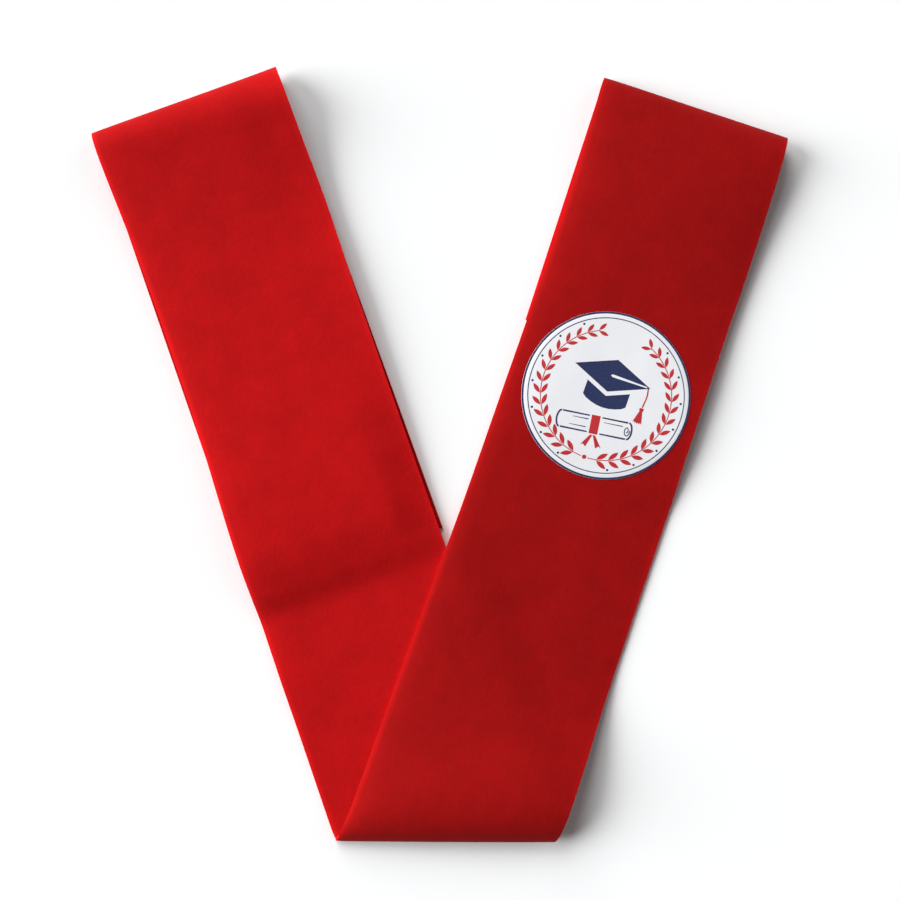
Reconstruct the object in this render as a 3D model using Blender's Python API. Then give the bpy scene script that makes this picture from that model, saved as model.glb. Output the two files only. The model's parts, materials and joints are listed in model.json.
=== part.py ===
"""A felt graduation stole: one long strip folded into a V, with a round film badge on its right arm.

The strip lies on a surface. It runs from the end of the left tail, underneath, up to a rolled
fold, down the left arm, round the rolled fold at the point of the V, up the right arm, which
lies over the left one, and round a last rolled fold into the right tail, underneath again.
Metres, +Z up. The plan is worked out with Y = 0 on the fold at the point of the V.
"""

import math
from collections import namedtuple

import bmesh
import bpy
from mathutils import Vector

# The felt
STRIP_WIDTH = 0.100
FELT_THICKNESS = 0.0015
LAYER_GAP = 0.0003

# The plan of the V
ARM_TILT = math.radians(19.7)
LEFT_ARM_LENGTH = 0.3950
RIGHT_ARM_LENGTH = 0.3890
LEFT_TAIL_LENGTH = 0.251
RIGHT_TAIL_LENGTH = 0.132
POINT_SHIFT = 0.0023

# The rolled folds: the tallest lift, and how far a roll reaches for each metre of its height
FOLD_LIFT = 0.016
LEFT_NOSE_SHARE = 1.25
RIGHT_NOSE_SHARE = 0.80
POINT_NOSE_SHARE = 2.10
CURL_SHARE = 0.60
MIDDLE_SHARE = 0.42
POINT_MIDDLE_SHARE = 0.23

# How far the felt takes to come down past the end or the edge of a layer under it
LEFT_BRIDGE = 0.016
RIGHT_BRIDGE = 0.060
CROSSING_BRIDGE = 0.025
EDGE_CLEARANCE = 0.0010

# How the left arm arches over the end of its tail: the height of the arch, how far it takes to come
# up and to come down, how far before the tail's end it starts down, and how far across it reaches
LEFT_ARCH = 0.0034
ARCH_RISE = 0.090
ARCH_FALL = 0.032
ARCH_LEAD = 0.018
ARCH_EDGE = 0.55

# The badge, a disc of film inside a printed border
BADGE_DIAMETER = 0.085
BADGE_FROM_FOLD = 0.156
BADGE_ASIDE = 0.001
BORDER_WIDTH = 0.0010
FILM_THICKNESS = 0.0003

# The fineness of the mesh
ROW_STEP = 0.0080
TAIL_STEP = 0.0400
COLUMNS = 10
FOLD_ROWS = 7
BADGE_SIDES = 48
BADGE_RINGS = 5

# Each row: how far down the arm it lies, as a share of the arm, and the lift of the left edge,
# the middle and the right edge above what the felt would rest on, as shares of FOLD_LIFT
LiftRow = namedtuple("LiftRow", "down left middle right")

LEFT_ARM_LIFTS = (
    LiftRow(0.00, 0.41, 0.62, 0.84),
    LiftRow(0.04, 0.39, 0.59, 0.81),
    LiftRow(0.08, 0.27, 0.45, 0.56),
    LiftRow(0.11, 0.19, 0.36, 0.38),
    LiftRow(0.15, 0.12, 0.26, 0.21),
    LiftRow(0.20, 0.06, 0.19, 0.14),
    LiftRow(0.30, 0.04, 0.17, 0.17),
    LiftRow(0.43, 0.06, 0.17, 0.10),
    LiftRow(0.54, 0.07, 0.12, 0.04),
    LiftRow(0.62, 0.07, 0.06, 0.00),
    LiftRow(0.71, 0.00, 0.00, 0.00),
    LiftRow(0.78, 0.06, 0.01, 0.00),
    LiftRow(0.86, 0.00, 0.00, 0.00),
    LiftRow(1.00, 0.00, 0.00, 0.00),
)

RIGHT_ARM_LIFTS = (
    LiftRow(0.00, 0.31, 0.53, 0.72),
    LiftRow(0.03, 0.31, 0.52, 0.68),
    LiftRow(0.06, 0.21, 0.49, 0.49),
    LiftRow(0.12, 0.08, 0.43, 0.30),
    LiftRow(0.18, 0.03, 0.33, 0.17),
    LiftRow(0.26, 0.03, 0.24, 0.12),
    LiftRow(0.37, 0.03, 0.20, 0.20),
    LiftRow(0.45, 0.03, 0.19, 0.23),
    LiftRow(0.50, 0.02, 0.14, 0.13),
    LiftRow(0.55, 0.00, 0.09, 0.00),
    LiftRow(0.70, 0.00, 0.12, 0.00),
    LiftRow(0.77, 0.00, 0.20, 0.03),
    LiftRow(0.82, 0.02, 0.31, 0.18),
    LiftRow(0.87, 0.06, 0.47, 0.47),
    LiftRow(0.91, 0.13, 0.64, 0.71),
    LiftRow(0.95, 0.24, 0.80, 0.92),
    LiftRow(1.00, 0.34, 0.93, 1.00),
)

# Each row: how far down the arm it lies, and how far the left and the right edge stand to the
# right of a straight arm, as shares of STRIP_WIDTH
ShiftRow = namedtuple("ShiftRow", "down left right")

LEFT_ARM_SHIFTS = (
    ShiftRow(0.00, -0.010, -0.005),
    ShiftRow(0.08, -0.006, -0.001),
    ShiftRow(0.18, 0.006, 0.005),
    ShiftRow(0.30, 0.012, -0.004),
    ShiftRow(0.45, 0.009, -0.008),
    ShiftRow(0.60, -0.003, -0.010),
    ShiftRow(0.70, -0.004, -0.008),
    ShiftRow(1.00, -0.006, -0.004),
)

RIGHT_ARM_SHIFTS = (
    ShiftRow(0.00, -0.040, -0.055),
    ShiftRow(0.06, -0.026, -0.038),
    ShiftRow(0.12, -0.012, -0.027),
    ShiftRow(0.20, 0.000, -0.019),
    ShiftRow(0.30, 0.005, -0.019),
    ShiftRow(0.45, 0.008, -0.012),
    ShiftRow(0.55, 0.010, 0.000),
    ShiftRow(0.92, 0.000, 0.000),
    ShiftRow(1.00, 0.000, -0.016),
)

# side is -1 on the left and 1 on the right. tail_end says how far the left and the right corner of
# the tail's end stand to the right of a straight arm, as shares of STRIP_WIDTH
Arm = namedtuple("Arm", "side length tail nose bridge arch tail_end lifts shifts")
CornerShifts = namedtuple("CornerShifts", "left right")

LEFT_TAIL_END = CornerShifts(0.002, 0.007)
RIGHT_TAIL_END = CornerShifts(-0.004, -0.024)

LEFT_ARM = Arm(
    -1,
    LEFT_ARM_LENGTH,
    LEFT_TAIL_LENGTH,
    LEFT_NOSE_SHARE,
    LEFT_BRIDGE,
    LEFT_ARCH,
    LEFT_TAIL_END,
    LEFT_ARM_LIFTS,
    LEFT_ARM_SHIFTS,
)
RIGHT_ARM = Arm(
    1,
    RIGHT_ARM_LENGTH,
    RIGHT_TAIL_LENGTH,
    RIGHT_NOSE_SHARE,
    RIGHT_BRIDGE,
    0.0,
    RIGHT_TAIL_END,
    RIGHT_ARM_LIFTS,
    RIGHT_ARM_SHIFTS,
)

# Heights of the middle of the felt: on the surface, and the step up onto a layer of felt
FLOOR_HEIGHT = FELT_THICKNESS / 2
LAYER_STEP = FELT_THICKNESS + LAYER_GAP

HALF_WIDTH = STRIP_WIDTH / 2


def eased(share):
    """A share from 0 to 1 that starts and ends gently, held at its ends outside that range."""
    share = min(max(share, 0.0), 1.0)
    return share * share * (3 - 2 * share)


def mixed(start, end, share):
    return start + (end - start) * share


def column_value(rows, column, down):
    """One column of a table at a place down the arm, on a smooth curve through the rows."""
    places = [row.down for row in rows]
    values = [getattr(row, column) for row in rows]
    last = len(rows) - 1
    index = max(i for i in range(last) if i == 0 or places[i] <= down)
    slopes = []
    for i in (index, index + 1):
        if i in (0, last):
            slopes.append(0.0)
        else:
            slopes.append((values[i + 1] - values[i - 1]) / (places[i + 1] - places[i - 1]))
    span = places[index + 1] - places[index]
    share = min(max((down - places[index]) / span, 0.0), 1.0)
    bend = share * (1 - share) * span
    curve = bend * ((1 - share) * slopes[0] - share * slopes[1])
    return mixed(values[index], values[index + 1], eased(share)) + curve


def across_direction(arm):
    """The plan direction across an arm, from its left edge to its right edge."""
    return Vector((math.cos(ARM_TILT), -arm.side * math.sin(ARM_TILT), 0))


def down_direction(arm):
    """The plan direction down an arm, from its top fold to the point of the V."""
    return Vector((-arm.side * math.sin(ARM_TILT), -math.cos(ARM_TILT), 0))


def line_length(arm, across):
    """The length of an arm along one line, from the top fold to the fold at the point.

    across runs from -1 on the left edge of the strip to 1 on its right edge.
    """
    return arm.length - arm.side * across * HALF_WIDTH * math.tan(ARM_TILT)


def side_shift(arm, across, down):
    """How far a point of an arm stands to the right of where a straight arm would have it."""
    share = down / line_length(arm, across)
    left = column_value(arm.shifts, "left", share)
    right = column_value(arm.shifts, "right", share)
    return mixed(left, right, (across + 1) / 2) * STRIP_WIDTH


def shifted_point(arm, across, down, shift):
    """A place in plan, a distance down from the top fold and shifted to the right."""
    point = Vector((arm.side * POINT_SHIFT / 2, 0, 0))
    point += down_direction(arm) * (down - arm.length)
    return point + across_direction(arm) * (across * HALF_WIDTH + shift)


def plan_point(arm, across, down):
    """The place in plan of a point of the upper layer, a distance down from the top fold."""
    return shifted_point(arm, across, down, side_shift(arm, across, down))


def crossing_support(point):
    """The height that the left arm gives to felt over it, and to felt just past its right edge."""
    edge = plan_point(LEFT_ARM, 1, line_length(LEFT_ARM, 1))
    past = (point - edge).dot(across_direction(LEFT_ARM))
    return LAYER_STEP * (1 - eased((past - EDGE_CLEARANCE) / CROSSING_BRIDGE))


def tail_arch(arm, across, down):
    """How far an arm arches up over the end of its tail."""
    past = down - arm.tail + ARCH_LEAD
    along = eased(1 + past / ARCH_RISE) * (1 - eased(past / ARCH_FALL))
    return arm.arch * along * (1 - eased((across - ARCH_EDGE) / (1 - ARCH_EDGE)))


def resting_height(arm, across, down):
    """The height of the middle of the felt where it just rests on what lies under it."""
    past = down - arm.tail - EDGE_CLEARANCE
    support = LAYER_STEP * (1 - eased(past / arm.bridge)) + tail_arch(arm, across, down)
    if arm is RIGHT_ARM:
        support = max(support, crossing_support(plan_point(arm, across, down)))
    return FLOOR_HEIGHT + support


def open_height(arm, across, down):
    """The height of the middle of the felt away from the folds: resting height and lift."""
    share = down / line_length(arm, across)
    left, middle, right = (
        column_value(arm.lifts, column, share) for column in ("left", "middle", "right")
    )
    lift = middle + across * (right - left) / 2 + across**2 * ((left + right) / 2 - middle)
    return resting_height(arm, across, down) + FOLD_LIFT * max(lift, 0.0)


def top_peak(arm, across):
    return open_height(arm, across, 0)


def point_peak(across):
    return open_height(RIGHT_ARM, across, line_length(RIGHT_ARM, across))


def rounding(distance, reach):
    """How far a quarter round has come up, from 0 at its vertical end to 1 at its level end."""
    left = 1 - min(distance / reach, 1.0)
    return math.sqrt(1 - left * left)


def arm_height(arm, across, down):
    """The height of the middle of the felt of an arm, with its rounded ends at both folds."""
    height = open_height(arm, across, down)
    peak = top_peak(arm, across)
    rise = rounding(down, arm.nose * peak)
    height = mixed(MIDDLE_SHARE * peak, height, rise)
    peak = point_peak(across)
    reach = (POINT_NOSE_SHARE if arm is RIGHT_ARM else CURL_SHARE) * peak
    from_point = (line_length(arm, across) - down) * math.cos(ARM_TILT)
    return mixed(POINT_MIDDLE_SHARE * peak, height, rounding(max(from_point, 0.0), reach))


def arm_point(arm, across, down):
    point = plan_point(arm, across, down)
    point.z = arm_height(arm, across, down)
    return point


def tail_point(arm, across, down):
    """A point of the lower layer under an arm, a distance down from the top fold."""
    end_shift = mixed(*arm.tail_end, (across + 1) / 2) * STRIP_WIDTH
    shift = mixed(side_shift(arm, across, 0), end_shift, down / arm.tail)
    point = shifted_point(arm, across, down, shift)
    peak = top_peak(arm, across)
    point.z = mixed(MIDDLE_SHARE * peak, FLOOR_HEIGHT, rounding(down, CURL_SHARE * peak))
    return point


def quarter_turn(reach, row):
    """How far a row of a quarter round lies from the fold, its rows at equal angles."""
    return reach * (1 - math.cos(math.pi / 2 * row / FOLD_ROWS))


def even_shares(length, step):
    """Shares from 0 up to, but not at, 1, for rows about a step apart."""
    count = max(1, round(length / step))
    return [i / count for i in range(count)]


def top_line(arm, across):
    """Points of one line from the end of the tail to the arm's rounded start, in order."""
    peak = top_peak(arm, across)
    curl = CURL_SHARE * peak
    points = []
    for share in even_shares(arm.tail, TAIL_STEP):
        points.append(tail_point(arm, across, mixed(arm.tail, curl, share)))
    for row in range(FOLD_ROWS, 0, -1):
        points.append(tail_point(arm, across, quarter_turn(curl, row)))
    for row in range(FOLD_ROWS):
        points.append(arm_point(arm, across, quarter_turn(arm.nose * peak, row)))
    return points


def arm_line(arm, across):
    """Points of one line down an arm, from its rounded start to the fold at the point."""
    start = arm.nose * top_peak(arm, across)
    reach = (POINT_NOSE_SHARE if arm is RIGHT_ARM else CURL_SHARE) * point_peak(across)
    end = line_length(arm, across) - reach / math.cos(ARM_TILT)
    shares = even_shares(arm.length, ROW_STEP) + [1.0]
    return [arm_point(arm, across, mixed(start, end, share)) for share in shares]


def point_fold_line(across, start, end):
    """Points of one line round the fold at the point, between the last points of the arms."""
    peak = point_peak(across)
    points = []
    for arm, reach_share in ((LEFT_ARM, CURL_SHARE), (RIGHT_ARM, POINT_NOSE_SHARE)):
        rows = range(FOLD_ROWS - 1, 0, -1) if arm is LEFT_ARM else range(FOLD_ROWS)
        for row in rows:
            distance = quarter_turn(reach_share * peak, row)
            down = line_length(arm, across) - distance / math.cos(ARM_TILT)
            points.append(Vector((0, distance, arm_height(arm, across, down))))
    path = [Vector((0, start.y, start.z))] + points + [Vector((0, end.y, end.z))]
    travelled = [0.0]
    for before, after in zip(path, path[1:]):
        travelled.append(travelled[-1] + (after - before).length)
    for point, distance in zip(points, travelled[1:]):
        point.x = mixed(start.x, end.x, distance / travelled[-1])
    return points


def strip_line(across):
    """Points of one line along the whole strip, from the left tail's end to the right one's."""
    left = top_line(LEFT_ARM, across) + arm_line(LEFT_ARM, across)
    right = top_line(RIGHT_ARM, across) + arm_line(RIGHT_ARM, across)
    return left + point_fold_line(across, left[-1], right[-1]) + right[::-1]


def new_material(name, colour, roughness):
    material = bpy.data.materials.new(name)
    material.diffuse_color = (*colour, 1)
    material.use_nodes = True
    shader = material.node_tree.nodes["Principled BSDF"]
    shader.inputs["Base Color"].default_value = (*colour, 1)
    shader.inputs["Roughness"].default_value = roughness
    shader.inputs["Metallic"].default_value = 0.0
    return material


def new_sheet(name, mesh, thickness, material):
    """An object of a sheet that Solidify thickens equally to both sides."""
    data = bpy.data.meshes.new(name)
    bmesh.ops.recalc_face_normals(mesh, faces=mesh.faces)
    mesh.to_mesh(data)
    mesh.free()
    data.shade_smooth()
    data.materials.append(material)
    sheet = bpy.data.objects.new(name, data)
    bpy.context.scene.collection.objects.link(sheet)
    wall = sheet.modifiers.new("wall", "SOLIDIFY")
    wall.thickness = thickness
    wall.offset = 0.0
    return sheet


def make_felt_band():
    material = new_material("red_felt", (0.53, 0.012, 0.014), 0.95)
    mesh = bmesh.new()
    lines = []
    for column in range(COLUMNS + 1):
        across = 2 * column / COLUMNS - 1
        lines.append([mesh.verts.new(point) for point in strip_line(across)])
    for left, right in zip(lines, lines[1:]):
        for row in range(len(left) - 1):
            mesh.faces.new((left[row], right[row], right[row + 1], left[row + 1]))
    return new_sheet("felt_band", mesh, FELT_THICKNESS, material)


def badge_point(radius, angle):
    """A point of the badge's layer, which follows the felt of the right arm."""
    across = (BADGE_ASIDE + radius * math.cos(angle)) / HALF_WIDTH
    point = arm_point(RIGHT_ARM, across, BADGE_FROM_FOLD - radius * math.sin(angle))
    point.z += FELT_THICKNESS / 2 + LAYER_GAP + FILM_THICKNESS / 2
    return point


def make_ring(name, inner, outer, rings, material):
    """A flat ring of the badge, or a disc where inner is 0."""
    mesh = bmesh.new()
    angles = [2 * math.pi * side / BADGE_SIDES for side in range(BADGE_SIDES)]
    circles = []
    for ring in range(rings + 1):
        radius = mixed(inner, outer, ring / rings)
        if radius == 0:
            circles.append([mesh.verts.new(badge_point(0, 0))] * BADGE_SIDES)
        else:
            circles.append([mesh.verts.new(badge_point(radius, angle)) for angle in angles])
    for small, large in zip(circles, circles[1:]):
        for side in range(BADGE_SIDES):
            after = (side + 1) % BADGE_SIDES
            corners = dict.fromkeys((small[side], large[side], large[after], small[after]))
            mesh.faces.new(tuple(corners))
    return new_sheet(name, mesh, FILM_THICKNESS, material)


def make_badge():
    film = new_material("white_film", (0.86, 0.87, 0.90), 0.35)
    ink = new_material("navy_print", (0.012, 0.020, 0.085), 0.40)
    radius = BADGE_DIAMETER / 2
    film_radius = radius - BORDER_WIDTH - LAYER_GAP
    return [
        make_ring("badge_film", 0, film_radius, BADGE_RINGS, film),
        make_ring("badge_border", radius - BORDER_WIDTH, radius, 1, ink),
    ]


def centre_on_origin(pieces):
    """Moves the pieces' meshes so that the felt's box is centred over the origin in plan."""
    bpy.context.view_layer.update()
    felt = pieces[0].evaluated_get(bpy.context.evaluated_depsgraph_get())
    corners = [Vector(corner) for corner in felt.bound_box]
    low = Vector([min(corner[axis] for corner in corners) for axis in range(3)])
    high = Vector([max(corner[axis] for corner in corners) for axis in range(3)])
    for piece in pieces:
        for vertex in piece.data.vertices:
            vertex.co.x -= (low.x + high.x) / 2
            vertex.co.y -= (low.y + high.y) / 2


def main():
    for old in list(bpy.data.objects):
        bpy.data.objects.remove(old)
    centre_on_origin([make_felt_band()] + make_badge())


main()
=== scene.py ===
"""Looks of a felt graduation stole: a folded red strip with a round printed badge.

The file is laid out as a Blender add-on and run as a script. Each operator makes one piece, or a
group of like pieces, in metres and +Z up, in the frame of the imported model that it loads.
"""

import json
import math
from collections import namedtuple
from functools import cache

import bmesh
import bpy
from bpy.props import FloatProperty, FloatVectorProperty, PointerProperty
from mathutils import Matrix, Vector, noise

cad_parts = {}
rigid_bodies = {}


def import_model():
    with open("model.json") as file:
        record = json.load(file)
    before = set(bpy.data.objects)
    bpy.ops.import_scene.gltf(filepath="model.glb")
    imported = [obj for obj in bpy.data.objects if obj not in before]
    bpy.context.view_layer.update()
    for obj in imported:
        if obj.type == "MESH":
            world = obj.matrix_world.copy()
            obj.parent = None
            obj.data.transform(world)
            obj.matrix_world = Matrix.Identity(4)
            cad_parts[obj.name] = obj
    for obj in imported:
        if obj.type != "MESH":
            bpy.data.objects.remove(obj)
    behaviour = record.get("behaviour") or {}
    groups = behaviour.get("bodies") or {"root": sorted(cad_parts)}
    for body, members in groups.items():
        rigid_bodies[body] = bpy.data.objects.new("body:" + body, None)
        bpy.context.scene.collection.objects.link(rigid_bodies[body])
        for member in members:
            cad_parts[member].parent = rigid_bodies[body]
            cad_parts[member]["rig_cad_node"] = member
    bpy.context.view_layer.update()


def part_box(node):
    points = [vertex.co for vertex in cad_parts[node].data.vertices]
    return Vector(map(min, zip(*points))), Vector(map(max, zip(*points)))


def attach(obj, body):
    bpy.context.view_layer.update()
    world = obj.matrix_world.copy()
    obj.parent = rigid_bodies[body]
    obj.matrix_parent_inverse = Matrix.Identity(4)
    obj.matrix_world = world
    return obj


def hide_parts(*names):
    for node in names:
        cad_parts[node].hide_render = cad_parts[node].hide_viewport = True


bl_info = {
    "name": "Graduation Stole",
    "version": (1, 0, 0),
    "blender": (4, 5, 0),
    "location": "View3D > Sidebar > Stole",
    "description": "Makes a folded felt graduation stole with a printed badge, and its studio",
    "category": "Add Mesh",
}

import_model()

# Each row: how far down the arm it lies, as a share of the arm, and the lift of the left edge,
# the middle and the right edge above what the felt would rest on, as shares of the fold lift
LiftRow = namedtuple("LiftRow", "down left middle right")


def rows_of(kind, *rows):
    """A table whose rows are named tuples of one kind."""
    return tuple(kind(*row) for row in rows)


LEFT_ARM_LIFTS = rows_of(
    LiftRow,
    (0.00, 0.41, 0.62, 0.84),
    (0.04, 0.39, 0.59, 0.81),
    (0.08, 0.27, 0.45, 0.56),
    (0.11, 0.19, 0.36, 0.38),
    (0.15, 0.12, 0.26, 0.21),
    (0.20, 0.06, 0.19, 0.14),
    (0.30, 0.04, 0.17, 0.17),
    (0.43, 0.06, 0.17, 0.10),
    (0.54, 0.07, 0.12, 0.04),
    (0.62, 0.07, 0.06, 0.00),
    (0.71, 0.00, 0.00, 0.00),
    (0.78, 0.06, 0.01, 0.00),
    (0.86, 0.00, 0.00, 0.00),
    (1.00, 0.00, 0.00, 0.00),
)

RIGHT_ARM_LIFTS = rows_of(
    LiftRow,
    (0.00, 0.31, 0.53, 0.72),
    (0.03, 0.31, 0.52, 0.68),
    (0.06, 0.21, 0.49, 0.49),
    (0.12, 0.08, 0.43, 0.30),
    (0.18, 0.03, 0.33, 0.17),
    (0.26, 0.03, 0.24, 0.12),
    (0.37, 0.03, 0.20, 0.20),
    (0.45, 0.03, 0.19, 0.23),
    (0.50, 0.02, 0.14, 0.13),
    (0.55, 0.00, 0.09, 0.00),
    (0.70, 0.00, 0.12, 0.00),
    (0.77, 0.00, 0.20, 0.03),
    (0.82, 0.02, 0.31, 0.18),
    (0.87, 0.06, 0.47, 0.47),
    (0.91, 0.13, 0.64, 0.71),
    (0.95, 0.24, 0.80, 0.92),
    (1.00, 0.34, 0.93, 1.00),
)

# Each row: how far down the arm it lies, and how far the left and the right edge stand to the
# right of a straight arm, as shares of the strip's width
ShiftRow = namedtuple("ShiftRow", "down left right")

LEFT_ARM_SHIFTS = rows_of(
    ShiftRow,
    (0.00, -0.010, -0.005),
    (0.08, -0.006, -0.001),
    (0.18, 0.006, 0.005),
    (0.30, 0.012, -0.004),
    (0.45, 0.009, -0.008),
    (0.60, -0.003, -0.010),
    (0.70, -0.004, -0.008),
    (1.00, -0.006, -0.004),
)

RIGHT_ARM_SHIFTS = rows_of(
    ShiftRow,
    (0.00, -0.040, -0.055),
    (0.06, -0.026, -0.038),
    (0.12, -0.012, -0.027),
    (0.20, 0.000, -0.019),
    (0.30, 0.005, -0.019),
    (0.45, 0.008, -0.012),
    (0.55, 0.010, 0.000),
    (0.92, 0.000, 0.000),
    (1.00, 0.000, -0.016),
)

# side is -1 on the left and 1 on the right. tail_end says how far the left and the right corner of
# the tail's end stand to the right of a straight arm, as shares of the strip's width
Arm = namedtuple("Arm", "side length tail nose bridge arch tail_end lifts shifts")
CornerShifts = namedtuple("CornerShifts", "left right")

# The rolled folds: how far a roll reaches for each metre of its height, and where its nose is
LEFT_NOSE_SHARE = 1.25
RIGHT_NOSE_SHARE = 0.80
POINT_NOSE_SHARE = 2.10
CURL_SHARE = 0.60
MIDDLE_SHARE = 0.42
POINT_MIDDLE_SHARE = 0.23

# How far the felt takes to come down past the end or the edge of a layer under it
LEFT_BRIDGE = 0.016
RIGHT_BRIDGE = 0.060
CROSSING_BRIDGE = 0.025
EDGE_CLEARANCE = 0.0010
LAYER_GAP = 0.0003
POINT_SHIFT = 0.0023
LEFT_TAIL_END = CornerShifts(0.002, 0.007)
RIGHT_TAIL_END = CornerShifts(-0.004, -0.024)

# How the left arm arches over the end of its tail: the height of the arch, how far it takes to come
# up and to come down, how far before the tail's end it starts down, and how far across it reaches
LEFT_ARCH = 0.0034
ARCH_RISE = 0.090
ARCH_FALL = 0.032
ARCH_LEAD = 0.018
ARCH_EDGE = 0.55

# What each arm is, but for its side and its lengths, in the order of Arm. The right has no arch
LEFT_ARM = (
    LEFT_NOSE_SHARE, LEFT_BRIDGE, LEFT_ARCH, LEFT_TAIL_END, LEFT_ARM_LIFTS, LEFT_ARM_SHIFTS
)
RIGHT_ARM = (
    RIGHT_NOSE_SHARE, RIGHT_BRIDGE, 0.0, RIGHT_TAIL_END, RIGHT_ARM_LIFTS, RIGHT_ARM_SHIFTS
)

# How the felt bows beside its left edge: how high, how far in, how far it takes to come down again,
# and between which shares of the left arm the bow dies out, where the right arm lies on it
BOW_HEIGHT = 0.0013
BOW_REACH = 0.009
BOW_FADE = 0.050
BOW_END = (0.60, 0.95)

# The right edge of the upper left arm turns up a little: how high, over which width, and
# between which shares of the arm it dies away
FLARE_HEIGHT = 0.0013
FLARE_REACH = 0.018
FLARE_END = (0.36, 0.58)

# The small swells of the felt: the scale of the broad ones, and of the ones of half their height
SWELL_SCALE = 34
RIPPLE_SCALE = 90

# How the felt's cut edges are rounded
CUT_EDGE_ROUND = 0.00035
CUT_EDGE_SEGMENTS = 3
CUT_EDGE_ANGLE = math.radians(50)

# The fineness of the felt's mesh
ROW_STEP = 0.0026
TAIL_STEP = 0.0060
COLUMNS = 40
FOLD_ROWS = 14
EDGE_COLUMNS = (0.0, 0.0003, 0.0008)

# The film: how far it is pressed into the felt, the rings of its mesh and how its edge is rounded
FILM_SINK = 0.00004
FILM_RINGS = 14
FILM_EDGE_ROUND = 0.00010
CIRCLE_SIDES = 144

# Print is laid on the film in pieces no wider than this, so that it follows the felt
PRINT_CELL = 0.0025
PRINT_LIFT = 0.00004
PRINT_THICKNESS = 0.00008

# Flat pieces are laid down from this height, which is above every fold
DROP_HEIGHT = 0.05

# Points nearer than this are taken as one, and lines that bend less than this as straight
SAME_POINT = 1e-6
STRAIGHT_ANGLE = 0.01


def eased(share):
    """A share from 0 to 1 that starts and ends gently, held at its ends outside that range."""
    share = min(max(share, 0.0), 1.0)
    return share * share * (3 - 2 * share)


def mixed(start, end, share):
    return start + (end - start) * share


def column_value(rows, column, down):
    """One column of a table at a place down the arm, on a smooth curve through the rows."""
    places = [row.down for row in rows]
    values = [getattr(row, column) for row in rows]
    last = len(rows) - 1
    index = max(i for i in range(last) if i == 0 or places[i] <= down)
    slopes = []
    for i in (index, index + 1):
        if i in (0, last):
            slopes.append(0.0)
        else:
            slopes.append((values[i + 1] - values[i - 1]) / (places[i + 1] - places[i - 1]))
    span = places[index + 1] - places[index]
    share = min(max((down - places[index]) / span, 0.0), 1.0)
    bend = share * (1 - share) * span
    curve = bend * ((1 - share) * slopes[0] - share * slopes[1])
    return mixed(values[index], values[index + 1], eased(share)) + curve


def rounding(distance, reach):
    """How far a quarter round has come up, from 0 at its vertical end to 1 at its level end."""
    left = 1 - min(distance / reach, 1.0)
    return math.sqrt(1 - left * left)


def quarter_turn(reach, row):
    """How far a row of a quarter round lies from the fold, its rows at equal angles."""
    return reach * (1 - math.cos(math.pi / 2 * row / FOLD_ROWS))


def even_shares(length, step):
    """Shares from 0 up to, but not at, 1, for rows about a step apart."""
    count = max(1, round(length / step))
    return [i / count for i in range(count)]


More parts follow.
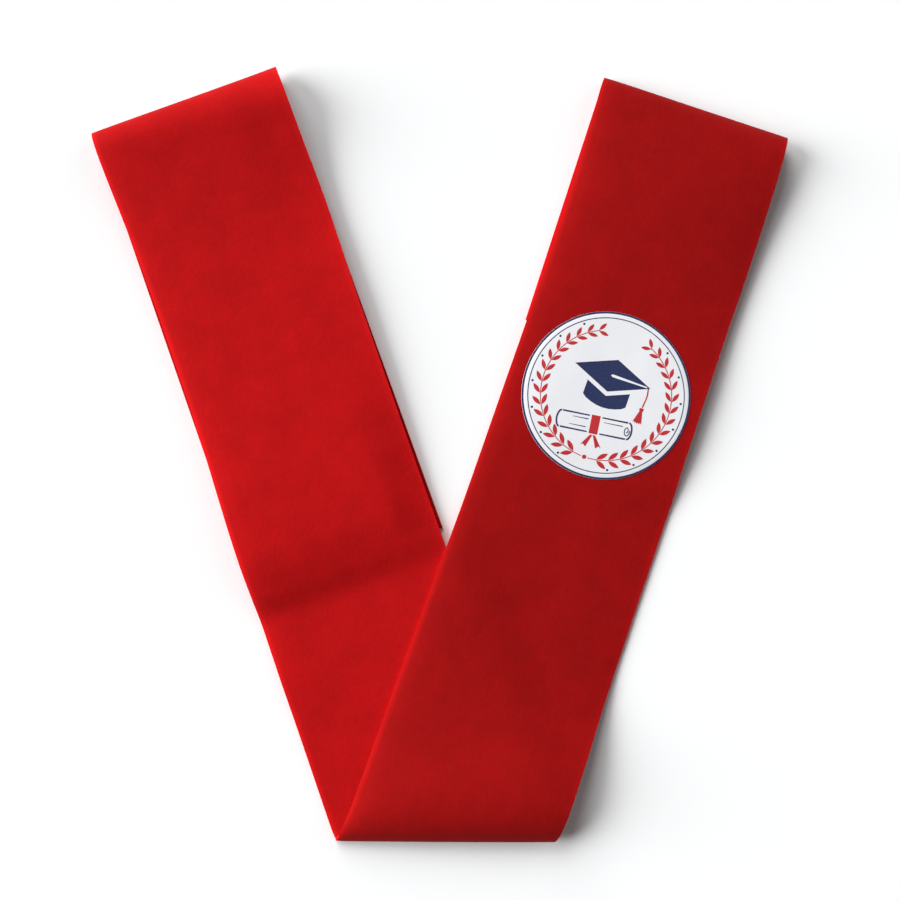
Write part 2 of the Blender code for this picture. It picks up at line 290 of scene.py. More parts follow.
class StripPath:
    """Where each point of the felt strip lies. Y is 0 on the fold at the point of the V.

    across runs from -1 on the left edge of the strip to 1 on its right edge, and down is the
    distance from the top fold of an arm.
    """

    def __init__(self, felt):
        self.width = felt.strip_width
        self.tilt = felt.arm_tilt
        self.fold_lift = felt.fold_lift
        self.relief = felt.relief
        self.floor_height = felt.thickness / 2
        self.layer_step = felt.thickness + LAYER_GAP
        lengths = (felt.left_arm_length, felt.left_tail_length)
        self.left = Arm(-1, *lengths, *LEFT_ARM)
        lengths = (felt.right_arm_length, felt.right_tail_length)
        self.right = Arm(1, *lengths, *RIGHT_ARM)

    def across_direction(self, arm):
        """The plan direction across an arm, from its left edge to its right edge."""
        return Vector((math.cos(self.tilt), -arm.side * math.sin(self.tilt), 0))

    def down_direction(self, arm):
        """The plan direction down an arm, from its top fold to the point of the V."""
        return Vector((-arm.side * math.sin(self.tilt), -math.cos(self.tilt), 0))

    def line_length(self, arm, across):
        """The length of an arm along one line, from the top fold to the fold at the point."""
        return arm.length - arm.side * across * self.width / 2 * math.tan(self.tilt)

    def side_shift(self, arm, across, down):
        """How far a point of an arm stands to the right of a straight arm."""
        share = down / self.line_length(arm, across)
        left = column_value(arm.shifts, "left", share)
        right = column_value(arm.shifts, "right", share)
        return mixed(left, right, (across + 1) / 2) * self.width

    def shifted_point(self, arm, across, down, shift):
        """A place in plan, a distance down from the top fold and shifted to the right."""
        point = Vector((arm.side * POINT_SHIFT / 2, 0, 0))
        point += self.down_direction(arm) * (down - arm.length)
        return point + self.across_direction(arm) * (across * self.width / 2 + shift)

    def plan_point(self, arm, across, down):
        return self.shifted_point(arm, across, down, self.side_shift(arm, across, down))

    def crossing_support(self, point):
        """The height that the left arm gives to felt over it and just past its right edge."""
        edge = self.plan_point(self.left, 1, self.line_length(self.left, 1))
        past = (point - edge).dot(self.across_direction(self.left))
        return self.layer_step * (1 - eased((past - EDGE_CLEARANCE) / CROSSING_BRIDGE))

    def tail_arch(self, arm, across, down):
        """How far an arm arches up over the end of its tail."""
        past = down - arm.tail + ARCH_LEAD
        along = eased(1 + past / ARCH_RISE) * (1 - eased(past / ARCH_FALL))
        return arm.arch * along * (1 - eased((across - ARCH_EDGE) / (1 - ARCH_EDGE)))

    def resting_height(self, arm, across, down):
        """The height of the middle of the felt where it just rests on what lies under it."""
        past = down - arm.tail - EDGE_CLEARANCE
        support = self.layer_step * (1 - eased(past / arm.bridge))
        support += self.tail_arch(arm, across, down)
        if arm is self.right:
            support = max(support, self.crossing_support(self.plan_point(arm, across, down)))
        return self.floor_height + support

    def open_height(self, arm, across, down):
        """The height of the middle of the felt away from the folds: resting height and lift."""
        share = down / self.line_length(arm, across)
        left, middle, right = (
            column_value(arm.lifts, column, share) for column in ("left", "middle", "right")
        )
        lift = middle + across * (right - left) / 2 + across**2 * ((left + right) / 2 - middle)
        return self.resting_height(arm, across, down) + self.fold_lift * max(lift, 0.0)

    @cache
    def top_peak(self, arm, across):
        """The height at which one line of an arm leaves its top fold."""
        return self.open_height(arm, across, 0)

    @cache
    def point_peak(self, across):
        """The height at which one line of the right arm meets the fold at the point."""
        return self.open_height(self.right, across, self.line_length(self.right, across))

    def point_reach(self, arm, across):
        """How far in plan the rounded end of an arm reaches from the fold at the point."""
        share = POINT_NOSE_SHARE if arm is self.right else CURL_SHARE
        return share * self.point_peak(across)

    def edge_bow(self, arm, across, down):
        """The soft bow of the felt beside its left edge, which itself stays down."""
        inside = (across + 1) * self.width / 2
        bow = 1 - (1 - min(inside / BOW_REACH, 1.0)) ** 2
        bow *= 1 - eased((inside - BOW_REACH) / BOW_FADE)
        if arm is self.left:
            start, end = BOW_END
            bow *= 1 - eased((down / self.line_length(arm, across) - start) / (end - start))
        return BOW_HEIGHT * bow

    def edge_flare(self, arm, across, down):
        """How far the inner edge of the left arm turns up."""
        if arm is not self.left:
            return 0.0
        inside = (1 - across) * self.width / 2
        start, end = FLARE_END
        fade = 1 - eased((down / self.line_length(arm, across) - start) / (end - start))
        return FLARE_HEIGHT * fade * max(1 - inside / FLARE_REACH, 0.0) ** 2

    def unevenness(self, arm, across, down):
        """The small swells of soft felt, never below where it rests."""
        place = Vector((across * self.width / 2, down, arm.side * self.width))
        swell = noise.noise(place * SWELL_SCALE) + 0.5 * noise.noise(place * RIPPLE_SCALE)
        return self.relief * min(max(0.5 + swell, 0.0), 1.0)

    def arm_height(self, arm, across, down):
        """The height of the middle of the felt of an arm, with its rounded ends at both folds."""
        height = self.open_height(arm, across, down) + self.edge_bow(arm, across, down)
        height += self.edge_flare(arm, across, down) + self.unevenness(arm, across, down)
        peak = self.top_peak(arm, across)
        height = mixed(MIDDLE_SHARE * peak, height, rounding(down, arm.nose * peak))
        peak = self.point_peak(across)
        from_point = (self.line_length(arm, across) - down) * math.cos(self.tilt)
        rise = rounding(max(from_point, 0.0), self.point_reach(arm, across))
        return mixed(POINT_MIDDLE_SHARE * peak, height, rise)

    def arm_point(self, arm, across, down):
        point = self.plan_point(arm, across, down)
        point.z = self.arm_height(arm, across, down)
        return point

    def tail_point(self, arm, across, down):
        """A point of the lower layer under an arm, a distance down from the top fold."""
        end_shift = mixed(*arm.tail_end, (across + 1) / 2) * self.width
        shift = mixed(self.side_shift(arm, across, 0), end_shift, down / arm.tail)
        point = self.shifted_point(arm, across, down, shift)
        peak = self.top_peak(arm, across)
        curl = rounding(down, CURL_SHARE * peak)
        point.z = mixed(MIDDLE_SHARE * peak, self.floor_height, curl)
        return point

    def top_line(self, arm, across):
        """Points of one line from the end of the tail to the arm's rounded start, in order."""
        peak = self.top_peak(arm, across)
        curl = CURL_SHARE * peak
        points = []
        for share in even_shares(arm.tail, TAIL_STEP):
            points.append(self.tail_point(arm, across, mixed(arm.tail, curl, share)))
        for row in range(FOLD_ROWS, 0, -1):
            points.append(self.tail_point(arm, across, quarter_turn(curl, row)))
        for row in range(FOLD_ROWS):
            points.append(self.arm_point(arm, across, quarter_turn(arm.nose * peak, row)))
        return points

    def arm_line(self, arm, across):
        """Points of one line down an arm, from its rounded start to the fold at the point."""
        start = arm.nose * self.top_peak(arm, across)
        end = self.line_length(arm, across) - self.point_reach(arm, across) / math.cos(self.tilt)
        shares = even_shares(arm.length, ROW_STEP) + [1.0]
        return [self.arm_point(arm, across, mixed(start, end, share)) for share in shares]

    def point_fold_line(self, across, start, end):
        """Points of one line round the fold at the point, between the last points of the arms."""
        points = []
        for arm in (self.left, self.right):
            rows = range(FOLD_ROWS - 1, 0, -1) if arm is self.left else range(FOLD_ROWS)
            for row in rows:
                distance = quarter_turn(self.point_reach(arm, across), row)
                down = self.line_length(arm, across) - distance / math.cos(self.tilt)
                points.append(Vector((0, distance, self.arm_height(arm, across, down))))
        path = [Vector((0, start.y, start.z))] + points + [Vector((0, end.y, end.z))]
        travelled = [0.0]
        for before, after in zip(path, path[1:]):
            travelled.append(travelled[-1] + (after - before).length)
        for point, distance in zip(points, travelled[1:]):
            point.x = mixed(start.x, end.x, distance / travelled[-1])
        return points

    def strip_line(self, across):
        """Points of one line along the whole strip, from the left tail's end to the right one's."""
        left = self.top_line(self.left, across) + self.arm_line(self.left, across)
        right = self.top_line(self.right, across) + self.arm_line(self.right, across)
        return left + self.point_fold_line(across, left[-1], right[-1]) + right[::-1]


def deselect_all():
    bpy.ops.object.select_all(action="DESELECT")


def make_active(piece):
    deselect_all()
    piece.select_set(True)
    bpy.context.view_layer.objects.active = piece


def apply_modifier(piece, kind, **settings):
    """Adds a modifier, sets it and applies it."""
    modifier = piece.modifiers.new(kind.lower(), kind)
    for name, value in settings.items():
        setattr(modifier, name, value)
    make_active(piece)
    bpy.ops.object.modifier_apply(modifier=modifier.name)


def name_piece(name):
    """Names the object that an operator has just made, and its mesh."""
    piece = bpy.context.object
    piece.name = name
    piece.data.name = name
    return piece


def set_inputs(node, values):
    """Sets a shader node's inputs by their names."""
    for name, value in values.items():
        node.inputs[name].default_value = value


class NodeMaker:
    """Makes a material, and adds and joins its shader nodes."""

    def __init__(self, name, colour):
        self.material = bpy.data.materials.new(name)
        self.material.use_nodes = True
        self.material.diffuse_color = (*colour, 1)
        self.tree = self.material.node_tree
        self.shader = self.tree.nodes["Principled BSDF"]

    def add(self, kind, label, **settings):
        node = self.tree.nodes.new(kind)
        node.label = label
        for key, value in settings.items():
            setattr(node, key, value)
        return node

    def join(self, output, target):
        self.tree.links.new(output, target)

    def noise(self, label, place, scale, detail, roughness, distortion=0.0):
        node = self.add("ShaderNodeTexNoise", label)
        set_inputs(node, {"Scale": scale, "Detail": detail})
        set_inputs(node, {"Roughness": roughness, "Distortion": distortion})
        self.join(place, node.inputs["Vector"])
        return node.outputs["Fac"]

    def ramp(self, label, factor, low, high, low_colour, high_colour):
        node = self.add("ShaderNodeValToRGB", label)
        first, second = node.color_ramp.elements
        first.position, second.position = low, high
        first.color = (*low_colour, 1)
        second.color = (*high_colour, 1)
        self.join(factor, node.inputs["Fac"])
        return node.outputs["Color"]

    def mix(self, label, factor, first, second, blend):
        node = self.add("ShaderNodeMix", label, data_type="RGBA", blend_type=blend)
        if isinstance(factor, float):
            node.inputs["Factor"].default_value = factor
        else:
            self.join(factor, node.inputs["Factor"])
        self.join(first, node.inputs["A"])
        self.join(second, node.inputs["B"])
        return node.outputs["Result"]

    def bump(self, label, height, strength, distance, normal=None):
        node = self.add("ShaderNodeBump", label)
        set_inputs(node, {"Strength": strength, "Distance": distance})
        self.join(height, node.inputs["Height"])
        if normal is not None:
            self.join(normal, node.inputs["Normal"])
        return node.outputs["Normal"]

    def finish(self, colour, normal, roughness, specular):
        """Sets the surface: the outputs for its colour and normal, and how glossy it is."""
        self.join(colour, self.shader.inputs["Base Color"])
        self.join(normal, self.shader.inputs["Normal"])
        set_inputs(self.shader, {"Roughness": roughness, "Specular IOR Level": specular})


def scaled_colour(colour, factor):
    return tuple(min(channel * factor, 1.0) for channel in colour)


# The felt's grain: the scale of its tufts as a share of the fibres', the scales of its patches and
# clouds, how dark and light its fibres are, and how dark the darkest spots of the others are
TUFT_SCALE = 0.28
PATCH_SCALE = 160.0
CLOUD_SCALE = 55.0
FIBRE_SHADES = (0.95, 1.06)
TUFT_SHADE = 0.95
PATCH_SHADE = 0.935
CLOUD_SHADE = 0.88

# How strong the painted highlight beside the cut edges is at the right edge, as a share of that at
# the left edge, which faces the light
RIGHT_EDGE_HIGHLIGHT = 0.35

SHEEN = {"Sheen Weight": 0.08, "Sheen Roughness": 0.45, "Sheen Tint": (1.0, 0.30, 0.28, 1)}
WHITE = (1.0, 1.0, 1.0)


def add_painted_edge_highlight(maker, place, colour_out, colour, felt):
    """Lightens the felt beside its cut edges, the left one most, with a painted highlight where the
    edges face the light.
    """
    split = maker.add("ShaderNodeSeparateXYZ", "across the strip")
    maker.join(place, split.inputs["Vector"])
    share = maker.add("ShaderNodeMapRange", "from edge to edge")
    half = felt.strip_width / 2
    set_inputs(share, {"From Min": -half, "From Max": half})
    maker.join(split.outputs["X"], share.inputs["Value"])
    band = felt.highlight_width / felt.strip_width
    amount = maker.add("ShaderNodeValToRGB", "painted edge highlight amount")
    amount.color_ramp.elements[0].color = (*WHITE, 1)
    amount.color_ramp.elements[1].color = (*scaled_colour(WHITE, RIGHT_EDGE_HIGHLIGHT), 1)
    for position in (band, 1 - band):
        amount.color_ramp.elements.new(position).color = (0, 0, 0, 1)
    maker.join(share.outputs["Result"], amount.inputs["Fac"])
    painted_highlight = maker.add("ShaderNodeRGB", "painted edge highlight colour").outputs["Color"]
    painted_highlight.default_value = (*scaled_colour(colour, felt.highlight_strength), 1)
    return maker.mix("with painted edge highlight", amount.outputs["Color"], colour_out, painted_highlight, "ADD")


def make_felt_material(name, colour, felt):
    """Pressed felt: matted fibres in near shades of one red, cloudy at a larger scale, with a
    painted highlight beside its cut edges.
    """
    maker = NodeMaker(name, colour)
    place = maker.add("ShaderNodeUVMap", "along the strip", uv_map="felt_metres").outputs["UV"]
    fibres = maker.noise("matted fibres", place, felt.fibre_scale, 6.0, 0.68, 1.6)
    tufts = maker.noise("small tufts", place, felt.fibre_scale * TUFT_SCALE, 3.0, 0.55, 0.6)
    clouds = maker.noise("uneven dye", place, CLOUD_SCALE, 3.0, 0.5)
    patches = maker.noise("matted patches", place, PATCH_SCALE, 3.0, 0.6, 0.4)
    dark, light = (scaled_colour(colour, shade) for shade in FIBRE_SHADES)
    colour_out = maker.ramp("fibre shades", fibres, 0.30, 0.70, dark, light)
    for label, spots, low, high, darkest in (
        ("tuft", tufts, 0.32, 0.68, TUFT_SHADE),
        ("patch", patches, 0.34, 0.66, PATCH_SHADE),
        ("cloud", clouds, 0.30, 0.70, CLOUD_SHADE),
    ):
        shade = maker.ramp(f"{label} shades", spots, low, high, (darkest,) * 3, WHITE)
        colour_out = maker.mix(f"with {label} shades", 1.0, colour_out, shade, "MULTIPLY")
    # A painted highlight beside the cut edges, strongest at the left edge, which faces the light
    colour_out = add_painted_edge_highlight(maker, place, colour_out, colour, felt)
    normal = maker.bump("tuft relief", tufts, 0.22, 0.0006)
    normal = maker.bump("fibre relief", fibres, 0.14, 0.0003, normal)
    maker.finish(colour_out, normal, roughness=0.92, specular=0.08)
    set_inputs(maker.shader, SHEEN)
    return maker.material


def length_setting(name, description, default):
    return FloatProperty(name=name, description=description, default=default, unit="LENGTH")


def angle_setting(name, description, degrees):
    default = math.radians(degrees)
    return FloatProperty(name=name, description=description, default=default, unit="ROTATION")


def number_setting(name, description, default):
    return FloatProperty(name=name, description=description, default=default)


def colour_setting(name, description, default):
    return FloatVectorProperty(
        name=name, description=description, default=default, subtype="COLOR"
    )


class FeltSettings(bpy.types.PropertyGroup):
    """Sizes and colours of the felt strip"""

    strip_width: length_setting("Width", "Width of the strip", 0.100)
    thickness: length_setting("Thickness", "Thickness of the felt", 0.0015)
    arm_tilt: angle_setting("Arm tilt", "How far each arm leans from the middle line of the V", 19.7)
    left_arm_length: length_setting(
        "Left arm", "Length of the left arm along its middle, from fold to fold", 0.3950
    )
    right_arm_length: length_setting(
        "Right arm", "Length of the right arm along its middle, from fold to fold", 0.3890
    )
    left_tail_length: length_setting(
        "Left tail", "Length of the tail that lies under the left arm", 0.251
    )
    right_tail_length: length_setting(
        "Right tail", "Length of the tail that lies under the right arm", 0.132
    )
    fold_lift: length_setting(
        "Fold lift", "Height of the tallest fold above where the felt would rest", 0.016
    )
    relief: length_setting("Relief", "Height of the small swells of the soft felt", 0.00016)
    fibre_scale: number_setting(
        "Fibre scale", "How many matted clumps of fibre lie in a metre", 1500.0
    )
    # The width and the strength of the painted highlight beside the cut edges, strongest at the left
    # edge, which faces the light
    highlight_width: length_setting(
        "Edge highlight width", "How far in from a cut edge the painted highlight reaches", 0.0030
    )
    highlight_strength: number_setting(
        "Edge highlight strength",
        "How much lighter the felt is at its left edge, as a share of its colour",
        0.50,
    )
    front_colour: colour_setting(
        "Front face", "Colour of the face that shows on the left arm", (0.497, 0.0040, 0.0053)
    )
    # The back face is the same felt as the front; its darker colour is painted shade for how the
    # light falls on the right arm, where it shows
    shaded_back_colour: colour_setting(
        "Shaded back face", "Colour of the face that shows on the right arm", (0.318, 0.0029, 0.0032)
    )
    # The cut edges are the same felt as the faces; their lighter colour is a painted highlight, for
    # edges that catch the light
    edge_highlight_colour: colour_setting(
        "Cut edge highlight", "Colour of the cut edges, lightened by a painted highlight", (0.62, 0.005, 0.008)
    )


class BadgeSettings(bpy.types.PropertyGroup):
    """Sizes and colours of the printed badge"""

    diameter: length_setting("Diameter", "Diameter of the badge", 0.085)
    from_fold: length_setting(
        "From fold", "Distance from the right arm's top fold to the badge's centre", 0.156
    )
    aside: length_setting(
        "Aside", "How far the badge sits to the right of the arm's middle line", 0.001
    )
    film_thickness: length_setting("Film", "Thickness of the white film", 0.00025)
    film_colour: colour_setting("Film colour", "Colour of the bare film", (0.78, 0.79, 0.82))
    navy_colour: colour_setting(
        "Navy ink", "Colour of the dark blue print", (0.012, 0.022, 0.085)
    )
    red_colour: colour_setting("Red ink", "Colour of the red print", (0.46, 0.018, 0.022))


class StudioSettings(bpy.types.PropertyGroup):
    """Camera, floor and light"""

    camera_distance: length_setting(
        "Camera distance",
        "Distance from the camera to the point of the floor that it looks at",
        0.600,
    )
    camera_tilt: angle_setting("Camera tilt", "How far the camera leans from straight down", 5.0)
    target_x: length_setting("Target X", "Where on the floor the camera looks, to the right", 0.0058)
    target_y: length_setting(
        "Target Y", "Where on the floor the camera looks, towards the open end of the V", -0.0023
    )
    lens: FloatProperty(
        name="Lens",
        description="Focal length on a 36 mm square sensor",
        default=47.36,
        unit="CAMERA",
    )
    floor_colour: colour_setting("Floor", "Colour of the plain floor", (0.90, 0.91, 0.915))
    backdrop_colour: colour_setting(
        "Backdrop", "Plain colour that is seen beyond the floor", (0.93, 0.94, 0.945)
    )
    window_strength: number_setting(
        "Window light", "Strength of the soft light from the back left", 2.50
    )
    side_strength: number_setting("Side light", "Strength of the soft light from the left", 4.30)
    wall_strength: number_setting(
        "Wall light", "Strength of the weak, low light that comes back from the right", 0.85
    )
    sky_strength: number_setting("Fill", "Strength of the even light from all round", 0.04)


def strip_columns(width):
    """The lines across the strip, closer together beside its cut edges."""
    inner = 1 - 2 * EDGE_COLUMNS[-1] / width
    near = [1 - 2 * distance / width for distance in EDGE_COLUMNS[:-1]]
    middle = [mixed(-inner, inner, i / COLUMNS) for i in range(COLUMNS + 1)]
    return [-place for place in near] + middle + near[::-1]


def frame_shift(lines):
    """The move that centres the strip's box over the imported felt's, in plan."""
    low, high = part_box("felt_band")
    xs = [point.x for line in lines for point in line]
    ys = [point.y for line in lines for point in line]
    middle = (low + high) / 2
    return Vector((middle.x - (min(xs) + max(xs)) / 2, middle.y - (min(ys) + max(ys)) / 2, 0))


def badge_place(scene):
    """The badge's centre in plan, and the turn that sets it upright on the right arm."""
    path = StripPath(scene.stole_felt)
    badge = scene.stole_badge
    across = badge.aside / (scene.stole_felt.strip_width / 2)
    point = path.plan_point(path.right, across, badge.from_fold)
    return point + Vector(scene["strip_shift"]), -scene.stole_felt.arm_tilt


class STOLE_OT_felt_strip(bpy.types.Operator):
    """Make the folded felt strip"""

    bl_idname = "stole.felt_strip"
    bl_label = "Felt Strip"

    def execute(self, context):
        felt = context.scene.stole_felt
        path = StripPath(felt)
        columns = strip_columns(felt.strip_width)
        lines = [path.strip_line(across) for across in columns]
        shift = frame_shift(lines)
        context.scene["strip_shift"] = list(shift)
        mesh = bmesh.new()
        metres = mesh.loops.layers.uv.new("felt_metres")
        places = {}
        grid = []
        for across, line in zip(columns, lines):
            along = 0.0
            column = []
            before = line[0]
            for point in line:
                along += (point - before).length
                before = point
                vertex = mesh.verts.new(point + shift)
                places[vertex] = (across * felt.strip_width / 2, along)
                column.append(vertex)
            grid.append(column)
        for left, right in zip(grid, grid[1:]):
            for row in range(len(left) - 1):
                face = mesh.faces.new((left[row], right[row], right[row + 1], left[row + 1]))
                for loop in face.loops:
                    loop[metres].uv = places[loop.vert]
        data = bpy.data.meshes.new("felt_strip")
        mesh.to_mesh(data)
        mesh.free()
        strip = bpy.data.objects.new("felt_strip", data)
        context.scene.collection.objects.link(strip)
        for name, colour in (
            # the back face's colour is darkened by painted shade
            ("felt_back_face_shaded", felt.shaded_back_colour),
            ("felt_front_face", felt.front_colour),
            # the cut edge's colour is lightened by a painted highlight
            ("felt_cut_edge_highlight", felt.edge_highlight_colour),
        ):
            data.materials.append(make_felt_material(name, tuple(colour), felt))
        self.finish_edges(strip, felt)
        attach(strip, "root")
        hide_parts("felt_band")
        return {"FINISHED"}

    def finish_edges(self, strip, felt):
        """Gives the sheet its wall and rounds its cut edges."""
        apply_modifier(
            strip,
            "SOLIDIFY",
            thickness=felt.thickness,
            offset=0.0,
            material_offset=1,
            material_offset_rim=2,
        )
        apply_modifier(
            strip,
            "BEVEL",
            width=CUT_EDGE_ROUND,
            segments=CUT_EDGE_SEGMENTS,
            limit_method="ANGLE",
            angle_limit=CUT_EDGE_ANGLE,
        )
        make_active(strip)
        bpy.ops.object.shade_smooth()


def add_felt_grain(maker, place, normal=None):
    """The relief of the felt's grain, which shows through the film and its print."""
    grain = maker.noise("felt grain below", place, 900.0, 4.0, 0.6, 0.8)
    return maker.bump("grain relief", grain, 0.12, 0.0002, normal)


def film_material(badge):
    """White printable film: faintly cloudy, satin, with the felt's grain showing through."""
    colour = tuple(badge.film_colour)
    maker = NodeMaker("white_film", colour)
    place = maker.add("ShaderNodeTexCoord", "place").outputs["Object"]
    clouds = maker.noise("uneven press", place, 70.0, 2.0, 0.5)
    shade = maker.ramp("film shades", clouds, 0.3, 0.7, scaled_colour(colour, 0.97), colour)
    normal = maker.bump("press marks", clouds, 0.10, 0.0010)
    normal = add_felt_grain(maker, place, normal)
    maker.finish(shade, normal, roughness=0.38, specular=0.45)
    return maker.material


def ink_material(name, colour):
    """Printed ink: a flat colour with slight unevenness, a little less glossy than the film."""
    maker = NodeMaker(name, colour)
    place = maker.add("ShaderNodeTexCoord", "place").outputs["Object"]
    speckle = maker.noise("print speckle", place, 2200.0, 3.0, 0.6)
    light = tuple(mixed(channel, 0.8, 0.05) for channel in colour)
    shade = maker.ramp("ink shades", speckle, 0.45, 0.80, colour, light)
    maker.finish(shade, add_felt_grain(maker, place), roughness=0.48, specular=0.35)
    return maker.material


def ink(name, colour):
    """The ink of that name, made once."""
    return bpy.data.materials.get(name) or ink_material(name, tuple(colour))


def cut_into_cells(piece, cell):
    """Cuts a flat piece along a square grid, so that it can bend with what it lies on."""
    mesh = bmesh.new()
    mesh.from_mesh(piece.data)
    for axis in (0, 1):
        values = [v.co[axis] for v in mesh.verts]
        first = math.ceil(min(values) / cell)
        last = math.floor(max(values) / cell)
        for step in range(first, last + 1):
            normal = Vector((axis == 0, axis == 1, 0))
            everything = mesh.verts[:] + mesh.edges[:] + mesh.faces[:]
            bmesh.ops.bisect_plane(
                mesh,
                geom=everything,
                plane_co=normal * step * cell,
                plane_no=normal,
                dist=SAME_POINT,
            )
    mesh.to_mesh(piece.data)
    mesh.free()


def lay_down(piece, target, gap):
    """Drops a flat piece that lies over the badge's place onto the top of another piece."""
    place, turn = badge_place(bpy.context.scene)
    above = Vector((place.x, place.y, DROP_HEIGHT))
    piece.data.transform(Matrix.Translation(above) @ Matrix.Rotation(turn, 4, "Z"))
    piece.data.update()
    apply_modifier(
        piece,
        "SHRINKWRAP",
        target=target,
        wrap_method="PROJECT",
        use_project_z=True,
        use_positive_direction=False,
        use_negative_direction=True,
        offset=gap,
    )


def join_pieces(pieces, name):
    make_active(pieces[0])
    for piece in pieces[1:]:
        piece.select_set(True)
    if len(pieces) > 1:
        bpy.ops.object.join()
    return name_piece(name)


def print_piece(piece, colour_name, colour):
    """Lays a flat shape of print on the film and gives it its thickness and ink."""
    film = bpy.data.objects["badge_transfer"]
    cut_into_cells(piece, PRINT_CELL)
    lay_down(piece, film, PRINT_LIFT - PRINT_THICKNESS)
    apply_modifier(piece, "SOLIDIFY", thickness=PRINT_THICKNESS, offset=1.0)
    piece.data.materials.clear()
    piece.data.materials.append(ink(colour_name, colour))
    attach(piece, "root")


def flat_ring(name, inner, outer):
    """A flat ring, extruded inwards from a circle in edit mode."""
    bpy.ops.mesh.primitive_circle_add(vertices=CIRCLE_SIDES, radius=outer, location=(0, 0, 0))
    bpy.ops.object.mode_set(mode="EDIT")
    bpy.ops.mesh.select_all(action="SELECT")
    bpy.ops.mesh.extrude_edges_move()
    share = inner / outer
    bpy.ops.transform.resize(value=(share, share, 1), center_override=(0, 0, 0))
    bpy.ops.mesh.select_all(action="SELECT")
    bpy.ops.mesh.normals_make_consistent(inside=False)
    bpy.ops.object.mode_set(mode="OBJECT")
    return name_piece(name)


def filled_shape(name, outlines):
    """A flat piece from closed outlines, where an outline inside another is a hole."""
    curve = bpy.data.curves.new(name, "CURVE")
    curve.dimensions = "2D"
    curve.fill_mode = "BOTH"
    for outline in outlines:
        spline = curve.splines.new("POLY")
        spline.points.add(len(outline) - 1)
        for point, (x, y) in zip(spline.points, outline):
            point.co = (x, y, 0, 1)
        spline.use_cyclic_u = True
    piece = bpy.data.objects.new(name, curve)
    bpy.context.scene.collection.objects.link(piece)
    make_active(piece)
    bpy.ops.object.convert(target="MESH")
    piece = name_piece(name)
    mesh = bmesh.new()
    mesh.from_mesh(piece.data)
    bmesh.ops.remove_doubles(mesh, verts=mesh.verts, dist=SAME_POINT)
    bmesh.ops.dissolve_limit(
        mesh, angle_limit=STRAIGHT_ANGLE, verts=mesh.verts, edges=mesh.edges
    )
    for face in mesh.faces:
        if face.normal.z < 0:
            face.normal_flip()
    mesh.to_mesh(piece.data)
    mesh.free()
    return piece


def scaled_outline(outline, radius):
    return [(x * radius, y * radius) for x, y in outline]


def smooth_path(points, steps=8):
    """A smooth line through a few points."""
    path = []
    last = len(points) - 1
    for i in range(last):
        before, start = points[max(i - 1, 0)], points[i]
        end, after = points[i + 1], points[min(i + 2, last)]
        for step in range(steps):
            t = step / steps
            path.append(
                tuple(
                    b
                    + (c - a) * t / 2
                    + (2 * a - 5 * b + 4 * c - d) * t * t / 2
                    + (3 * b - a - 3 * c + d) * t**3 / 2
                    for a, b, c, d in zip(before, start, end, after)
                )
            )
    path.append(tuple(points[last]))
    return path


def stroke(points, widths):
    """The outline of a drawn line along a smooth path, with a width at each given point."""
    path = smooth_path([(*point, width) for point, width in zip(points, widths)])
    left, right = [], []
    for i, (x, y, width) in enumerate(path):
        ahead, behind = path[min(i + 1, len(path) - 1)], path[max(i - 1, 0)]
        along = Vector((ahead[0] - behind[0], ahead[1] - behind[1])).normalized()
        side = Vector((-along.y, along.x)) * width / 2
        left.append((x + side.x, y + side.y))
        right.append((x - side.x, y - side.y))
    return left + right[::-1]


class STOLE_OT_badge_transfer(bpy.types.Operator):
    """Make the badge's white film on the right arm"""

    bl_idname = "stole.badge_transfer"
    bl_label = "Badge Film"

    def execute(self, context):
        badge = context.scene.stole_badge
        radius = badge.diameter / 2
        bpy.ops.mesh.primitive_circle_add(
            vertices=CIRCLE_SIDES, radius=radius, fill_type="NGON", location=(0, 0, 0)
        )
        bpy.ops.object.mode_set(mode="EDIT")
        bpy.ops.mesh.select_all(action="SELECT")
        for _ in range(FILM_RINGS):
            bpy.ops.mesh.inset(thickness=radius / (FILM_RINGS + 1))
        bpy.ops.object.mode_set(mode="OBJECT")
        film = name_piece("badge_transfer")
        lay_down(film, bpy.data.objects["felt_strip"], -FILM_SINK)
        thickness = badge.film_thickness + FILM_SINK
        apply_modifier(film, "SOLIDIFY", thickness=thickness, offset=1.0)
        apply_modifier(
            film,
            "BEVEL",
            width=FILM_EDGE_ROUND,
            segments=2,
            limit_method="ANGLE",
            angle_limit=1.0,
        )
        make_active(film)
        bpy.ops.object.shade_smooth()
        film.data.materials.append(film_material(badge))
        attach(film, "root")
        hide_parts("badge_film")
        return {"FINISHED"}


# Shapes of the print, in shares of the badge's radius, with +Y towards the arm's top fold
BORDER_WIDTH = 0.024
BORDER_OUTER_RADIUS = 0.9985
THIN_RING_RADIUS = 0.93
THIN_RING_WIDTH = 0.011

CAP_BOARD = ((-0.47, 0.245), (0.0, 0.445), (0.47, 0.245), (0.0, 0.045))
CAP_CORD_SLOT = ((0.0, 0.262), (0.43, 0.2525), (0.43, 0.2375), (0.0, 0.228), (-0.025, 0.245))
CAP_CROWN = (
    (-0.265, 0.104),
    (0.0, -0.009),
    (0.265, 0.104),
    (0.265, -0.065),
    (0.225, -0.098),
    (0.150, -0.128),
    (0.075, -0.146),
    (0.0, -0.152),
    (-0.075, -0.146),
    (-0.150, -0.128),
    (-0.225, -0.098),
    (-0.265, -0.065),
)
TASSEL_CORD = ((0.448, 0.236), (0.462, 0.150), (0.458, 0.060), (0.452, 0.000))
TASSEL = (
    (0.430, -0.008),
    (0.474, -0.008),
    (0.480, -0.030),
    (0.470, -0.046),
    (0.506, -0.190),
    (0.486, -0.180),
    (0.476, -0.198),
    (0.462, -0.184),
    (0.450, -0.200),
    (0.438, -0.184),
    (0.424, -0.198),
    (0.414, -0.180),
    (0.396, -0.190),
    (0.434, -0.046),
    (0.424, -0.030),
)

